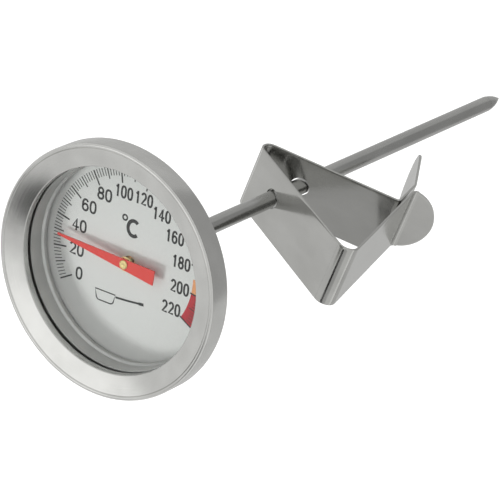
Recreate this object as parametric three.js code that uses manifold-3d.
// Dial thermometer with a bimetal stem and a sprung pan clip.
// Millimetres. +Z runs along the stem from its point to the dial, X runs across the clip's strip,
// and +Y runs from the pan's wall to the stem. The origin is where the clip grips the pan's rim.
import * as THREE from 'three';
import { mergeVertices } from 'three/addons/utils/BufferGeometryUtils.js';
import Module from 'manifold-3d';

const wasm = await Module();
wasm.setup();

// ---- driving dimensions -------------------------------------------------------------------------
// Heights in the head and stem are measured from the bezel's front, negative towards the point.
const STEM_X = 0.5;              // the stem and the clip's holes sit this far off the strip's middle
const STEM_Y = 18.7;             // stem axis to the pan's wall
const FRONT_Z = 79.5;            // bezel front above the clip's grip
const HEAD_TURN = -73.0;         // degrees, turn of the dial's 12 o'clock away from +Y
const POINTER_TURN = 85.2;       // degrees anticlockwise from 12 o'clock, about 32 degrees C
const GAP = 0.3;                 // clearance between pieces that touch on the real thing

const BEZEL_R = 26.0;
const BEZEL_BACK = -5.3;
const OPENING_R = 21.1;
const SHEET = 0.5;               // bezel and clip sheet
const LIP_Z = -1.3;              // the dished ring's height at the opening
const LIP_END = -2.55;           // inner edge of the rolled lip
const BEAD_R = 25.55;            // crest of the rounded bead
const SEAM_R = 23.4;             // inner edge of the turned-in back
const SEAM_Z = -4.85;            // front face of the turned-in back
const GASKET_TOP = -2.1;
const GASKET_IN = 21.9;
const GASKET_OUT = 24.4;

const GLASS_R = 24.9;
const GLASS_TOP = -2.85;
const GLASS_BOTTOM = -4.0;
const GLASS_CHAMFER = 0.2;

const CUP_R = 21.9;
const CUP_WALL = 0.4;
const CUP_FLANGE_R = 25.2;
const CUP_FLANGE_Z = -4.25;
const CUP_BACK = -11.0;
const CUP_CORNER = 2.4;
const CUP_HOLE_R = 3.0;

const DIAL_R = 21.1;
const DIAL_Z = -8.84;            // printed face
const DIAL_T = 0.45;
const DIAL_HOLE_R = 1.3;
const CARRIER_TOP = -9.45;
const CARRIER_BOTTOM = -9.9;
const CARRIER_IN = 2.5;
const SPACER_OUT = 21.3;
const SPACER_STEP = 20.95;       // upper bore of the stepped ring
const SPACER_IN = 20.5;          // lower bore

const STEM_R = 1.75;
const BORE_R = 1.4;
const TUBE_TOP = -10.4;
const SHOULDER_Z = -145.3;
const TIP_Z = -151.5;
const NOSE_BULGE = 0.18;         // how far the point's flank swells past a cone, in stem radii
const PLUG_R = 1.3;              // the point's spigot inside the tube
const PLUG_TOP = -142.5;
const COLLAR_BORE = 1.85;
const COLLAR_NECK = 2.7;
const COLLAR_FLANGE = 4.6;
const COLLAR_END = -15.8;

const SPINDLE_R = 0.45;
const SPINDLE_BORE = 0.52;
const SPINDLE_TOP = -7.15;
const SPINDLE_END = -108.6;
const GUIDE_R = 1.28;            // bushes that slide into the tube
const GUIDE_LEN = 2.0;
const MIDDLE_GUIDE_TOP = -60.0;
const LOWER_GUIDE_TOP = -104.5;
const BUSH_FLANGE = 2.1;
const BUSH_TOP = -9.6;
const BUSH_END = -14.0;
const SLEEVE_R = 1.2;
const SLEEVE_TOP = -107.6;
const SLEEVE_END = -109.3;
const BOSS_HEAD = 0.95;
const BOSS_SHANK = 0.66;
const BOSS_FLANGE = 1.5;
const BOSS_HUB = 1.0;
const BOSS_END = -8.5;
const POINTER_TOP = -6.9;
const POINTER_T = 0.25;
const POINTER_TIP = 16.8;
const POINTER_TAIL = 7.4;
const POINTER_TIP_W = 0.5;
const POINTER_TAIL_W = 3.1;
const NEEDLE_HOLE_R = 0.8;

const COIL_R = 0.95;
const COIL_T = 0.18;
const COIL_W = 1.3;
const COIL_TURNS = 16;
const COIL_TOP = -109.6;
const COIL_BOTTOM = -141.0;
const FOOT_TOP = -141.3;
const FOOT_END = -142.3;
const FOOT_BORE = 0.3;

// The clip's strip, seen along X: corner points of its centre line as [y, z] from the stem axis and
// the bezel's front, before the bends are rounded.
const STRIP_HALF = 7.2;
const BEND_R = 2.25;             // centre-line radius of the apex and of the outer bend
const CREASE_R = 0.9;            // centre-line radius of the sharp creases
const APEX = [12.4, -62.9];
const APEX_HALF_ANGLE = 22.6;    // degrees, each hole leaf to the normal of the stem
const OUTER_BEND = [-26.1, -46.9];
const FRONT_LEAF_DIR = -77.8;    // degrees in the YZ plane
const FRONT_LEAF_LEN = 36.9;
const FRONT_TAB_DIR = -146.3;
const FRONT_TAB_REACH = 6.7;
const GRIP_LEN = 9.6;            // stretch of the rear leaf that lies on the front leaf
const REAR_TAB_DIR = -61.0;
const REAR_TAB_LEN = 11.3;       // crease to the centre of its round end
const JAW_SPLIT = 16;            // degrees of the outer bend left free for the jaw's swing
const HOLE_R = 2.15;
const PUNCH_LEN = 4;
const CAP_START = 1.2;           // past the front crease, where the tab's round end begins

const FINE = 48;                 // sides of the head's turned pieces
const MEDIUM = 24;               // sides of the stem's
const COARSE = 16;               // sides of the small inner ones
const END_STEPS = 12;            // steps of a tab's round end
const END_SWEEP = 88;            // degrees of it, short of 90 so that its last edge keeps a width

// ---- shape helpers ------------------------------------------------------------------------------
const rad = THREE.MathUtils.degToRad;

// Merges a geometry's vertices and turns its faces outwards.
function closed(geometry) {
  const g = geometry.clone();
  g.deleteAttribute('normal');
  g.deleteAttribute('uv');
  const merged = mergeVertices(g, 1e-4);
  const p = merged.attributes.position;
  const idx = Array.from(merged.index.array);
  const a = new THREE.Vector3();
  const b = new THREE.Vector3();
  const c = new THREE.Vector3();
  const kept = [];
  let volume = 0;
  for (let i = 0; i < idx.length; i += 3) {
    const [i0, i1, i2] = idx.slice(i, i + 3);
    if (i0 === i1 || i1 === i2 || i2 === i0) continue;
    a.fromBufferAttribute(p, i0);
    b.fromBufferAttribute(p, i1);
    c.fromBufferAttribute(p, i2);
    volume += a.dot(b.cross(c));
    kept.push(i0, i1, i2);
  }
  if (volume < 0) kept.reverse();
  merged.setIndex(kept);
  return merged;
}

// A ring or disc about Z from a profile of [radius, z] points. A ring's profile closes on itself.
function turned(profile, segments, ring = true) {
  const points = profile.map(([r, z]) => new THREE.Vector2(r, z));
  if (ring) points.push(points[0].clone());
  const g = new THREE.LatheGeometry(points, segments);
  g.rotateX(Math.PI / 2);
  return closed(g);
}

// A plain tube about Z.
function tube(outer, inner, top, bottom, segments) {
  return turned([[inner, top], [outer, top], [outer, bottom], [inner, bottom]], segments);
}

// Points of an arc from one angle to another, in degrees.
function arc(cx, cy, r, from, to, steps) {
  const points = [];
  for (let i = 0; i <= steps; i += 1) {
    const t = rad(from + ((to - from) * i) / steps);
    points.push([cx + r * Math.cos(t), cy + r * Math.sin(t)]);
  }
  return points;
}

const step = ([y, z], dir, len) => [y + len * Math.cos(rad(dir)), z + len * Math.sin(rad(dir))];

// Where the line through p along one direction crosses the line through q along another.
function meet(p, dirP, q, dirQ) {
  const [py, pz] = [Math.cos(rad(dirP)), Math.sin(rad(dirP))];
  const [qy, qz] = [Math.cos(rad(dirQ)), Math.sin(rad(dirQ))];
  const s = ((q[0] - p[0]) * qz - (q[1] - p[1]) * qy) / (py * qz - pz * qy);
  return step(p, dirP, s);
}

// The centre line of a bent strip: its corners rounded to their own radii, as {y, z, dir} stations.
function bentLine(corners, radii) {
  const stations = [];
  const dirs = corners.slice(1).map((c, i) => Math.atan2(c[1] - corners[i][1], c[0] - corners[i][0]));
  stations.push({ y: corners[0][0], z: corners[0][1], dir: dirs[0] });
  for (let i = 1; i < corners.length - 1; i += 1) {
    let turn = dirs[i] - dirs[i - 1];
    turn = Math.atan2(Math.sin(turn), Math.cos(turn));
    const side = Math.sign(turn);
    const r = radii[i - 1];
    const back = r * Math.tan(Math.abs(turn) / 2);
    const y0 = corners[i][0] - back * Math.cos(dirs[i - 1]);
    const z0 = corners[i][1] - back * Math.sin(dirs[i - 1]);
    const cy = y0 - side * r * Math.sin(dirs[i - 1]);
    const cz = z0 + side * r * Math.cos(dirs[i - 1]);
    const steps = Math.max(3, Math.ceil(Math.abs(turn) / rad(15)));
    for (let k = 0; k <= steps; k += 1) {
      const dir = dirs[i - 1] + (turn * k) / steps;
      stations.push({ y: cy + side * r * Math.sin(dir), z: cz - side * r * Math.cos(dir), dir });
    }
  }
  const last = corners.length - 1;
  stations.push({ y: corners[last][0], z: corners[last][1], dir: dirs[last - 1] });
  return stations;
}

// Adds a round end of the strip's own half width, centred where the line stops.
function roundEnd(stations, half) {
  const end = stations[stations.length - 1];
  const out = stations.map((s) => ({ ...s, half }));
  for (let i = 1; i <= END_STEPS; i += 1) {
    const t = rad((END_SWEEP * i) / END_STEPS);
    const along = half * Math.sin(t);
    out.push({
      y: end.y + along * Math.cos(end.dir),
      z: end.z + along * Math.sin(end.dir),
      dir: end.dir,
      half: half * Math.cos(t),
    });
  }
  return out;
}

// Sweeps a flat strip of the given thickness along its stations.
function strip(stations, thickness) {
  const positions = [];
  for (const s of stations) {
    const ny = (-Math.sin(s.dir) * thickness) / 2;
    const nz = (Math.cos(s.dir) * thickness) / 2;
    positions.push(-s.half, s.y + ny, s.z + nz, s.half, s.y + ny, s.z + nz);
    positions.push(s.half, s.y - ny, s.z - nz, -s.half, s.y - ny, s.z - nz);
  }
  return quadTube(positions, stations.length);
}

// Joins rings of four corners into a closed body.
function quadTube(positions, count) {
  const index = [0, 1, 2, 0, 2, 3];
  for (let i = 0; i < count - 1; i += 1) {
    for (let k = 0; k < 4; k += 1) {
      const a = 4 * i + k;
      const b = 4 * i + ((k + 1) % 4);
      index.push(a, a + 4, b, b, a + 4, b + 4);
    }
  }
  const e = 4 * (count - 1);
  index.push(e, e + 2, e + 1, e, e + 3, e + 2);
  const g = new THREE.BufferGeometry();
  g.setAttribute('position', new THREE.Float32BufferAttribute(positions, 3));
  g.setIndex(index);
  return closed(g);
}

function toManifold(geometry) {
  const g = closed(geometry);
  const mesh = new wasm.Mesh({
    numProp: 3,
    vertProperties: new Float32Array(g.attributes.position.array),
    triVerts: new Uint32Array(g.index.array),
  });
  return new wasm.Manifold(mesh);
}

function fromManifold(body) {
  const mesh = body.getMesh();
  const g = new THREE.BufferGeometry();
  g.setAttribute('position', new THREE.Float32BufferAttribute(Array.from(mesh.vertProperties), 3));
  g.setIndex(Array.from(mesh.triVerts));
  return g;
}

// A short cutter for a punched hole, square to a leaf that runs along dir in the YZ plane.
function punch([y, z], dir, r) {
  const g = new THREE.CylinderGeometry(r, r, PUNCH_LEN, 32);
  g.rotateX(rad(dir));
  g.translate(STEM_X, y, z);
  return g;
}

// ---- materials ----------------------------------------------------------------------------------
function finish(color, roughness, metalness) {
  return new THREE.MeshStandardMaterial({ color, roughness, metalness });
}

const polished = finish(0xc9c9c7, 0.18, 1.0);
const brushed = finish(0xb4b4b1, 0.38, 1.0);
const brass = finish(0xd8ac4e, 0.3, 1.0);
const white = finish(0xecebe8, 0.55, 0.0);
const red = finish(0xd6291f, 0.45, 0.0);
const rubber = finish(0x24241f, 0.85, 0.0);
const bimetal = finish(0xa9a39a, 0.4, 1.0);
const clear = new THREE.MeshStandardMaterial({
  color: 0xf4f8f8, roughness: 0.03, metalness: 0.0, transparent: true, opacity: 0.3,
});

// ---- the clip -----------------------------------------------------------------------------------
const upperDir = 180 - APEX_HALF_ANGLE;
const lowerDir = 180 + APEX_HALF_ANGLE;
const outerTurn = FRONT_LEAF_DIR + 360 - upperDir;
const outerBendStart = step(OUTER_BEND, upperDir + 180, BEND_R * Math.tan(rad(outerTurn / 2)));
const frontEnd = step(OUTER_BEND, FRONT_LEAF_DIR, FRONT_LEAF_LEN);
const gripLine = step(OUTER_BEND, FRONT_LEAF_DIR + 90, SHEET + GAP);
const gripTop = meet(APEX, lowerDir, gripLine, FRONT_LEAF_DIR);
const gripBottom = step(gripTop, FRONT_LEAF_DIR, GRIP_LEN);
const rearTabCentre = step(gripBottom, REAR_TAB_DIR, REAR_TAB_LEN);
const frontTabCentre = step(frontEnd, FRONT_TAB_DIR, FRONT_TAB_REACH - STRIP_HALF);

// Upper hole leaf, apex, lower hole leaf, grip and rear tab: one end of the strip to just short of
// the outer bend.
function clipFrame() {
  const corners = [outerBendStart, APEX, gripTop, gripBottom, rearTabCentre];
  const line = bentLine(corners, [BEND_R, CREASE_R, CREASE_R]);
  let body = toManifold(strip(roundEnd(line, STRIP_HALF), SHEET));
  const stemLine = [0, 0];
  body = body.subtract(toManifold(punch(meet(APEX, upperDir, stemLine, 90), upperDir, HOLE_R)));
  body = body.subtract(toManifold(punch(meet(APEX, lowerDir, stemLine, 90), lowerDir, HOLE_R)));
  return fromManifold(body);
}

// Outer bend, front leaf and front tab.
function clipJaw() {
  const centre = step(outerBendStart, upperDir + 90, BEND_R);
  const bend = [];
  const steps = 9;
  for (let i = 0; i <= steps; i += 1) {
    const dir = rad(upperDir + JAW_SPLIT + ((outerTurn - JAW_SPLIT) * i) / steps);
    bend.push({ y: centre[0] + BEND_R * Math.sin(dir), z: centre[1] - BEND_R * Math.cos(dir), dir });
  }
  const beforeCrease = step(frontEnd, FRONT_LEAF_DIR, -BEND_R);
  const afterCrease = step(frontEnd, FRONT_TAB_DIR, BEND_R);
  const tab = bentLine([beforeCrease, frontEnd, afterCrease], [CREASE_R]);
  const body = [...bend, ...tab.slice(1, -1)].map((s) => ({ ...s, half: STRIP_HALF }));
  const endDir = rad(FRONT_TAB_DIR);
  const from = Math.asin((STRIP_HALF - FRONT_TAB_REACH + CAP_START) / STRIP_HALF);
  for (let i = 0; i <= END_STEPS; i += 1) {
    const t = from + ((rad(END_SWEEP) - from) * i) / END_STEPS;
    body.push({
      y: frontTabCentre[0] + STRIP_HALF * Math.sin(t) * Math.cos(endDir),
      z: frontTabCentre[1] + STRIP_HALF * Math.sin(t) * Math.sin(endDir),
      dir: endDir,
      half: STRIP_HALF * Math.cos(t),
    });
  }
  return strip(body, SHEET);
}

// ---- the stem -----------------------------------------------------------------------------------
function stemTip() {
  const flank = [[0, TIP_Z]];
  const noseSteps = 8;
  const noseLength = SHOULDER_Z - TIP_Z - 0.1;
  for (let i = 1; i <= noseSteps; i += 1) {
    const t = i / noseSteps;
    flank.push([STEM_R * (t + NOSE_BULGE * Math.sin(Math.PI * t)), TIP_Z + noseLength * t]);
  }
  const spigot = [[STEM_R, SHOULDER_Z], [PLUG_R, SHOULDER_Z], [PLUG_R, PLUG_TOP], [0, PLUG_TOP]];
  return turned([...flank, ...spigot], MEDIUM, false);
}

function bimetalCoil() {
  const perTurn = 10;
  const count = COIL_TURNS * perTurn + 1;
  const top = COIL_TOP - COIL_W / 2;
  const bottom = COIL_BOTTOM + COIL_W / 2;
  const positions = [];
  for (let i = 0; i < count; i += 1) {
    const a = (2 * Math.PI * i) / perTurn;
    const z = top + ((bottom - top) * i) / (count - 1);
    const [c, s] = [Math.cos(a), Math.sin(a)];
    for (const [dr, dz] of [[-1, 1], [1, 1], [1, -1], [-1, -1]]) {
      const r = COIL_R + (dr * COIL_T) / 2;
      positions.push(r * c, r * s, z + (dz * COIL_W) / 2);
    }
  }
  return quadTube(positions, count);
}

// Flanged bush that holds the tube in the back of the case.
function stemCollar() {
  const neckTop = CUP_BACK + CUP_WALL + GAP;
  const flangeTop = CUP_BACK - GAP;
  return turned([
    [COLLAR_BORE, neckTop], [COLLAR_NECK, neckTop], [COLLAR_NECK, flangeTop],
    [COLLAR_FLANGE, flangeTop], [COLLAR_FLANGE, flangeTop - 0.7], [COLLAR_NECK + 0.3, flangeTop - 1.2],
    [COLLAR_NECK + 0.2, COLLAR_END + 0.6], [COLLAR_NECK - 0.2, COLLAR_END], [COLLAR_BORE, COLLAR_END],
  ], MEDIUM);
}

// Flanged bush in the top of the tube.
function upperBush() {
  const underFlange = BUSH_TOP - SHEET;
  return turned([
    [SPINDLE_BORE, BUSH_TOP], [BUSH_FLANGE, BUSH_TOP], [BUSH_FLANGE, underFlange],
    [GUIDE_R, underFlange], [GUIDE_R, BUSH_END], [SPINDLE_BORE, BUSH_END],
  ], COARSE);
}

// A plain bush that steadies the spindle in the tube.
function guide(top) {
  return tube(GUIDE_R, SPINDLE_BORE, top, top - GUIDE_LEN, COARSE);
}

function spindle() {
  const profile = [[0, SPINDLE_TOP], [SPINDLE_R, SPINDLE_TOP], [SPINDLE_R, SPINDLE_END], [0, SPINDLE_END]];
  return turned(profile, COARSE, false);
}

// ---- the head -----------------------------------------------------------------------------------
// Pressed ring: a rolled lip at the opening, a dished face, a round bead, a straight side and a
// turned-in back edge that closes over the case's flange.
function bezelRing() {
  const inner = BEZEL_R - SHEET;
  const lipInner = OPENING_R + SHEET;
  return turned([
    [OPENING_R, LIP_END], [OPENING_R, LIP_Z - 0.3],
    [OPENING_R + 0.1, LIP_Z - 0.1], [OPENING_R + 0.35, LIP_Z],
    [BEAD_R - 0.35, -0.06], [BEAD_R, 0], [BEAD_R + 0.3, -0.12], [BEZEL_R, -0.42],
    [BEZEL_R, BEZEL_BACK + 0.4], [BEZEL_R - 0.15, BEZEL_BACK + 0.12], [inner, BEZEL_BACK],
    [SEAM_R, BEZEL_BACK], [SEAM_R, SEAM_Z], [inner - 0.1, SEAM_Z], [inner, SEAM_Z + 0.1],
    [inner, -0.75], [BEAD_R - 0.35, -0.6],
    [lipInner + 0.2, LIP_Z - 0.42], [lipInner, LIP_Z - 0.65], [lipInner, LIP_END],
  ], FINE);
}

function dialGlass() {
  return turned([
    [0, GLASS_TOP], [GLASS_R - GLASS_CHAMFER, GLASS_TOP], [GLASS_R, GLASS_TOP - GLASS_CHAMFER],
    [GLASS_R, GLASS_BOTTOM + GLASS_CHAMFER], [GLASS_R - GLASS_CHAMFER, GLASS_BOTTOM], [0, GLASS_BOTTOM],
  ], FINE, false);
}

// Stepped white-metal ring that holds the dial down and keeps it off the glass.
function spacerRing() {
  const top = GLASS_BOTTOM - GAP - 0.05;
  const bottom = DIAL_Z + GAP;
  return turned([
    [SPACER_STEP, top], [SPACER_OUT, top], [SPACER_OUT, bottom],
    [SPACER_IN, bottom], [SPACER_IN, bottom + 0.84], [SPACER_STEP, bottom + 1.24],
  ], FINE);
}

// Drawn cup with a flange that the bezel closes over and a hole for the stem's collar.
function caseCup() {
  const inner = CUP_R - CUP_WALL;
  const cornerR = CUP_R - CUP_CORNER;
  const cornerZ = CUP_BACK + CUP_CORNER;
  return turned([
    [inner, CUP_FLANGE_Z], [CUP_FLANGE_R, CUP_FLANGE_Z], [CUP_FLANGE_R, CUP_FLANGE_Z - CUP_WALL],
    [CUP_R, CUP_FLANGE_Z - CUP_WALL],
    ...arc(cornerR, cornerZ, CUP_CORNER, 0, -90, 3),
    [CUP_HOLE_R, CUP_BACK], [CUP_HOLE_R, CUP_BACK + CUP_WALL],
    ...arc(cornerR, cornerZ, CUP_CORNER - CUP_WALL, -90, 0, 3),
  ], FINE);
}

// Flat needle along +Y with a wide tail, pierced for the boss.
function pointerNeedle() {
  const s = new THREE.Shape();
  s.moveTo(-POINTER_TIP_W / 2, POINTER_TIP - 0.2);
  s.quadraticCurveTo(0, POINTER_TIP + 0.2, POINTER_TIP_W / 2, POINTER_TIP - 0.2);
  s.lineTo(POINTER_TAIL_W / 2, -POINTER_TAIL);
  s.lineTo(-POINTER_TAIL_W / 2, -POINTER_TAIL);
  s.closePath();
  const hole = new THREE.Path();
  hole.absarc(0, 0, NEEDLE_HOLE_R, 0, 2 * Math.PI, false);
  s.holes.push(hole);
  const g = new THREE.ExtrudeGeometry(s, { depth: POINTER_T, bevelEnabled: false, curveSegments: 12 });
  g.translate(0, 0, POINTER_TOP - POINTER_T);
  return closed(g);
}

// Brass boss pressed on the spindle: a flange under the needle and a rivet head over it.
function pointerBoss() {
  const headTop = POINTER_TOP + 0.3;
  const headUnder = POINTER_TOP + 0.05;
  const flangeTop = POINTER_TOP - POINTER_T - 0.06;
  return turned([
    [0, headTop], [BOSS_HEAD - 0.45, headTop - 0.04], [BOSS_HEAD, headTop - 0.16],
    [BOSS_HEAD, headUnder], [BOSS_SHANK, headUnder], [BOSS_SHANK, flangeTop],
    [BOSS_FLANGE, flangeTop], [BOSS_FLANGE, flangeTop - 0.25],
    [BOSS_HUB, flangeTop - 0.3], [BOSS_HUB, BOSS_END], [SPINDLE_BORE, BOSS_END],
    [SPINDLE_BORE, SPINDLE_TOP + 0.05], [0, SPINDLE_TOP + 0.05],
  ], COARSE, false);
}

// ---- assembly -----------------------------------------------------------------------------------
const part = new THREE.Group();
const thermometer = new THREE.Group();
const head = new THREE.Group();
const clip = new THREE.Group();
thermometer.position.set(STEM_X, STEM_Y, FRONT_Z);
head.rotation.z = rad(HEAD_TURN);
clip.position.set(0, STEM_Y, FRONT_Z);
part.add(clip, thermometer);
thermometer.add(head);

function add(parent, name, geometry, material) {
  const mesh = new THREE.Mesh(geometry, material);
  mesh.name = name;
  parent.add(mesh);
  return mesh;
}

add(clip, 'clip_frame', clipFrame(), polished);
add(clip, 'clip_jaw', clipJaw(), polished);

add(thermometer, 'stem_tube', tube(STEM_R, BORE_R, TUBE_TOP, SHOULDER_Z + 0.1, MEDIUM), brushed);
add(thermometer, 'stem_tip', stemTip(), brushed);

add(head, 'stem_collar', stemCollar(), brushed);
add(head, 'case_cup', caseCup(), brushed);
add(head, 'bezel_ring', bezelRing(), polished);
add(head, 'glass_gasket', tube(GASKET_OUT, GASKET_IN, GASKET_TOP, LIP_END, FINE), rubber);
add(head, 'dial_glass', dialGlass(), clear);
add(head, 'spacer_ring', spacerRing(), brushed);
add(head, 'dial_plate', tube(DIAL_R, DIAL_HOLE_R, DIAL_Z, DIAL_Z - DIAL_T, FINE), white);
add(head, 'dial_carrier', tube(SPACER_IN, CARRIER_IN, CARRIER_TOP, CARRIER_BOTTOM, FINE), brushed);
add(head, 'upper_bush', upperBush(), brass);
add(head, 'middle_guide', guide(MIDDLE_GUIDE_TOP), brass);
add(head, 'lower_guide', guide(LOWER_GUIDE_TOP), brass);
add(head, 'bimetal_coil', bimetalCoil(), bimetal);
add(head, 'coil_foot', tube(SLEEVE_R, FOOT_BORE, FOOT_TOP, FOOT_END, COARSE), brass);

add(head, 'spindle', spindle(), brushed);
add(head, 'coil_sleeve', tube(SLEEVE_R, SPINDLE_BORE, SLEEVE_TOP, SLEEVE_END, COARSE), brass);
const needle = add(head, 'pointer_needle', pointerNeedle(), red);
needle.rotation.z = rad(POINTER_TURN);
add(head, 'pointer_boss', pointerBoss(), brass);

export default part;
